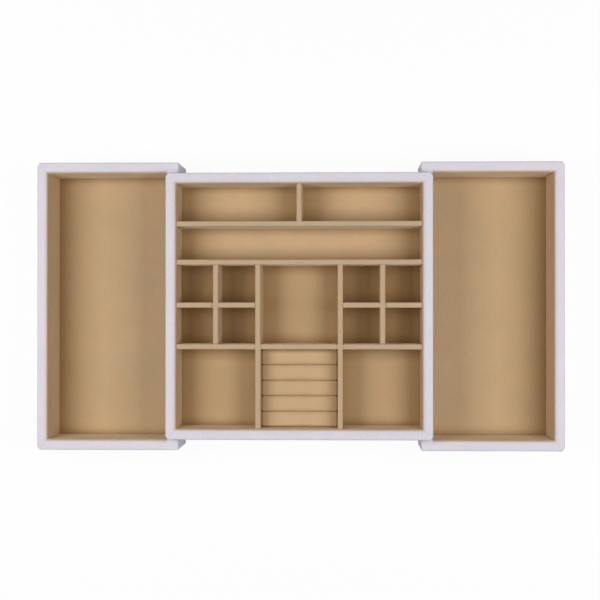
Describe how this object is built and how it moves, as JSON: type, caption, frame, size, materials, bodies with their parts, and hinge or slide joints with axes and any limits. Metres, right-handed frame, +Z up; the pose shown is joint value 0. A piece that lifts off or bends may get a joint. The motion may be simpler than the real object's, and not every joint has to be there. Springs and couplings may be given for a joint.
{
  "type": "jewelry tray",
  "caption": "Covered jewelry tray: a divided square box with a ring pad, and U-shaped side trays that slide out from both ends of it.",
  "frame": {"origin": "on the table under the middle of the centre box, with both side trays fully open", "axes": "+X towards the right-hand tray, +Y towards the back, the side of the two long compartments, +Z up"},
  "size_m": [0.5286, 0.2888, 0.075],
  "materials": {
    "cover_velvet": "short-napped lilac-white velvet wrapped round board",
    "camel_velvet": "matt camel velvet glued on board and card",
    "ring_pad_velvet": "camel velvet over foam",
    "base_felt": "pressed felt",
    "guide_nylon": "natural nylon"
  },
  "bodies": {
    "centre_box": {"back_row_board": "camel_velvet", "back_row_divider": "camel_velvet", "centre_back_lining": "camel_velvet", "centre_back_wall": "cover_velvet", "centre_floor_board": "cover_velvet", "centre_floor_lining": "camel_velvet", "centre_front_lining": "camel_velvet", "centre_front_wall": "cover_velvet", "centre_left_lining": "camel_velvet", "centre_left_wall": "cover_velvet", "centre_right_lining": "camel_velvet", "centre_right_wall": "cover_velvet", "front_row_board": "camel_velvet", "left_cross_divider": "camel_velvet", "left_main_divider": "camel_velvet", "left_small_divider": "camel_velvet", "long_slot_board": "camel_velvet", "right_cross_divider": "camel_velvet", "right_main_divider": "camel_velvet", "right_small_divider": "camel_velvet", "ring_pad_board": "ring_pad_velvet", "ring_roll_1": "ring_pad_velvet", "ring_roll_2": "ring_pad_velvet", "ring_roll_3": "ring_pad_velvet", "ring_roll_4": "ring_pad_velvet", "ring_roll_5": "ring_pad_velvet", "spine_felt": "base_felt", "support_spine": "cover_velvet"},
    "left_tray": {"left_back_lining": "camel_velvet", "left_back_wall": "cover_velvet", "left_base_felt": "base_felt", "left_end_lining": "camel_velvet", "left_end_wall": "cover_velvet", "left_floor_board": "cover_velvet", "left_floor_lining": "camel_velvet", "left_front_lining": "camel_velvet", "left_front_wall": "cover_velvet", "left_guide_pins": "guide_nylon"},
    "right_tray": {"right_back_lining": "camel_velvet", "right_back_wall": "cover_velvet", "right_base_felt": "base_felt", "right_end_lining": "camel_velvet", "right_end_wall": "cover_velvet", "right_floor_board": "cover_velvet", "right_floor_lining": "camel_velvet", "right_front_lining": "camel_velvet", "right_front_wall": "cover_velvet", "right_guide_pins": "guide_nylon"}
  },
  "joints": [
    {"name": "left_tray_slide", "type": "slide", "parent": "centre_box", "child": "left_tray", "axis": [1, 0, 0], "range_m": [0, 0.12025]},
    {"name": "right_tray_slide", "type": "slide", "parent": "centre_box", "child": "right_tray", "axis": [-1, 0, 0], "range_m": [0, 0.12025]}
  ]
}
